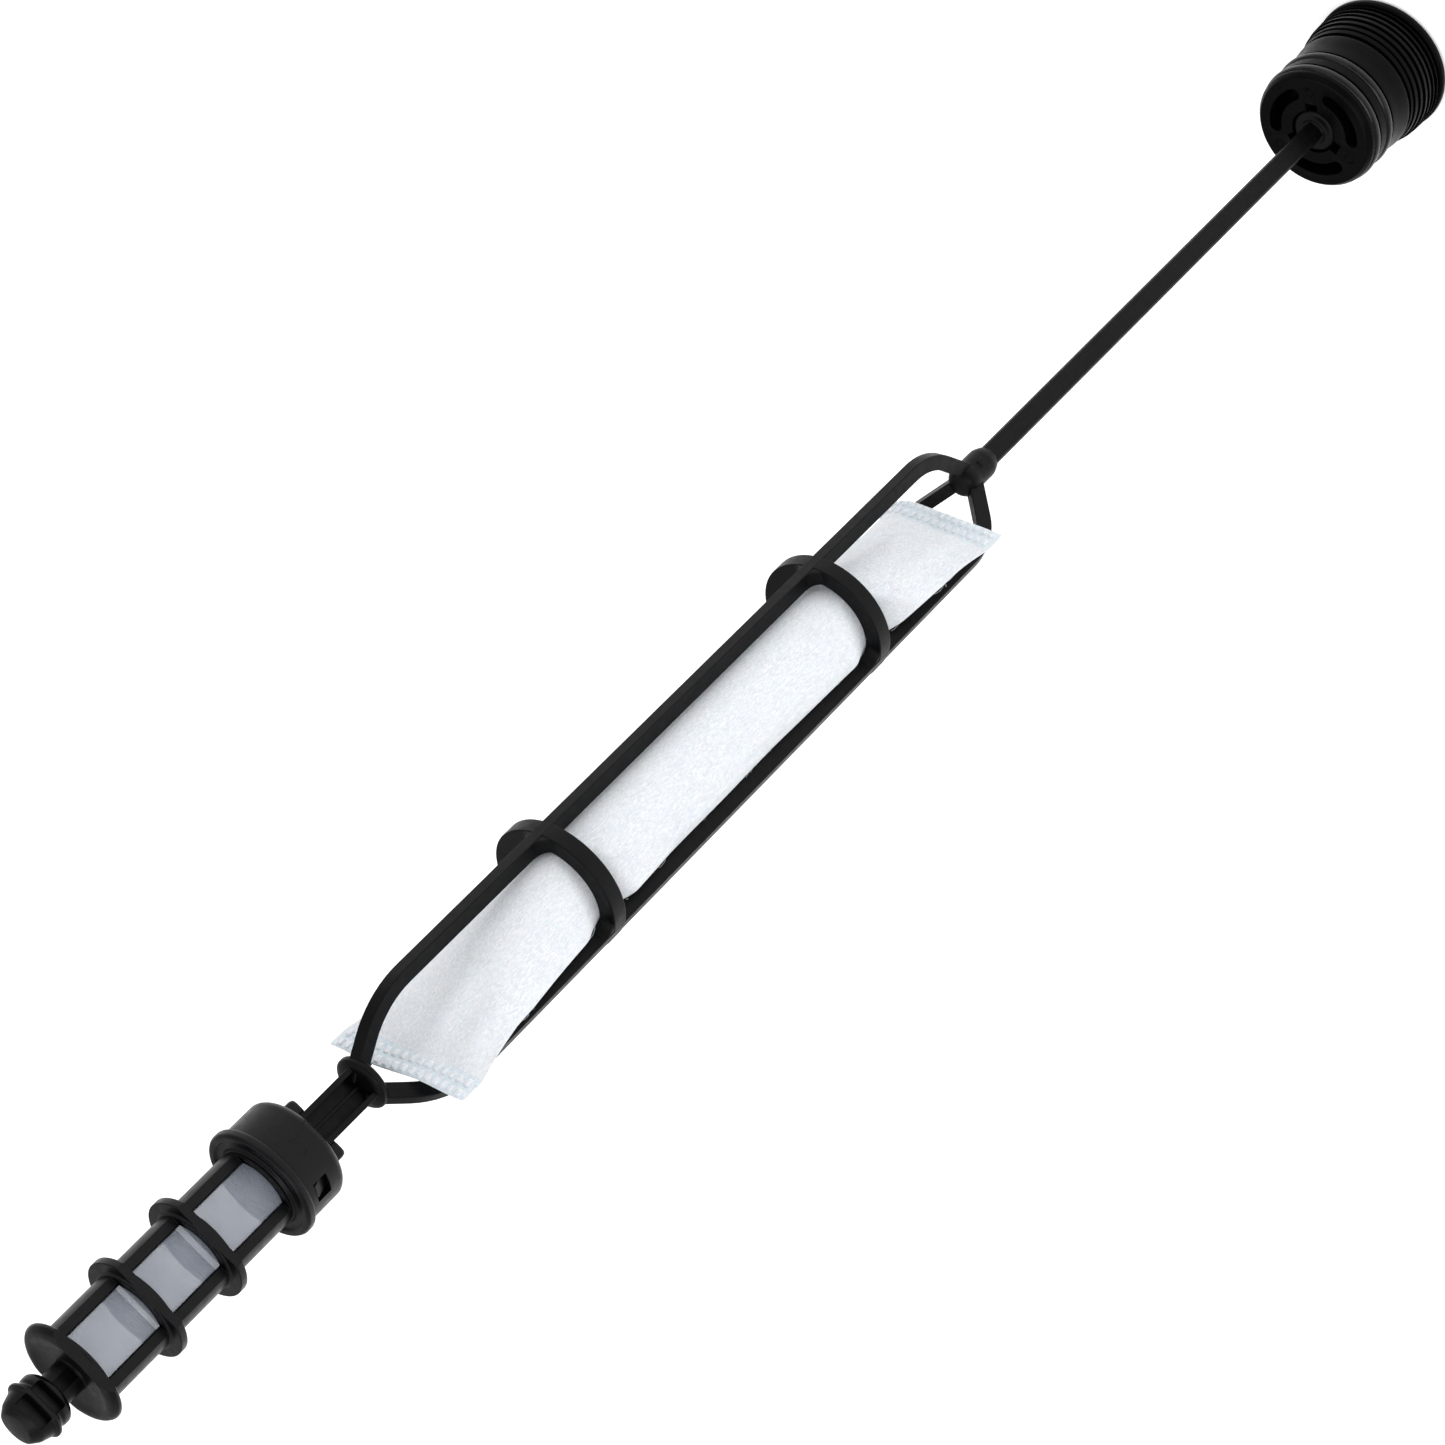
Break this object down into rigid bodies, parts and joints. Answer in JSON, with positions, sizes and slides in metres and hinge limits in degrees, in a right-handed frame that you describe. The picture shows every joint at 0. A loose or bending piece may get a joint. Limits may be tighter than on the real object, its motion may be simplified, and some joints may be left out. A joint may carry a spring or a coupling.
{
  "type": "air conditioning receiver-drier cartridge",
  "caption": "Threaded, O-ring sealed end plug on a long rod, with a ribbed carrier round a desiccant bag and a caged mesh filter with a guide nose.",
  "frame": {"origin": "centre of the plug's outer end face", "axes": "+Z along the cartridge from the plug to the guide nose; the filter's windows face -Y and +Y"},
  "size_m": [0.0306, 0.0306, 0.4191],
  "materials": {
    "plug_nylon": "black glass-filled nylon, moulded",
    "carrier_nylon": "black nylon, moulded, satin",
    "filter_nylon": "black glass-filled nylon, moulded",
    "seal_rubber": "black rubber, oiled",
    "bag_felt": "white needled polyester felt",
    "desiccant_beads": "molecular sieve beads",
    "mesh_nylon": "fine woven monofilament mesh"
  },
  "bodies": {
    "plug": {"plug_body": "plug_nylon", "oring_outer": "seal_rubber", "oring_inner": "seal_rubber"},
    "insert": {"rod": "carrier_nylon", "upper_hub": "carrier_nylon", "lower_hub": "carrier_nylon", "rib_a": "carrier_nylon", "rib_b": "carrier_nylon", "rib_c": "carrier_nylon", "hoop_upper": "carrier_nylon", "hoop_lower": "carrier_nylon", "stem": "carrier_nylon", "desiccant_bag": "bag_felt", "desiccant_charge": "desiccant_beads", "filter_cap": "filter_nylon", "filter_cage": "filter_nylon", "seal_flange": "filter_nylon", "guide_ring_upper": "filter_nylon", "guide_ring_lower": "filter_nylon", "end_flange": "filter_nylon", "filter_mesh": "mesh_nylon", "guide_neck": "filter_nylon", "guide_nose": "filter_nylon"}
  },
  "joints": [
    {"name": "plug_swivel", "type": "hinge", "parent": "plug", "child": "insert", "pos_m": [0, 0, 0.026], "axis": [0, 0, 1], "continuous": true}
  ]
}
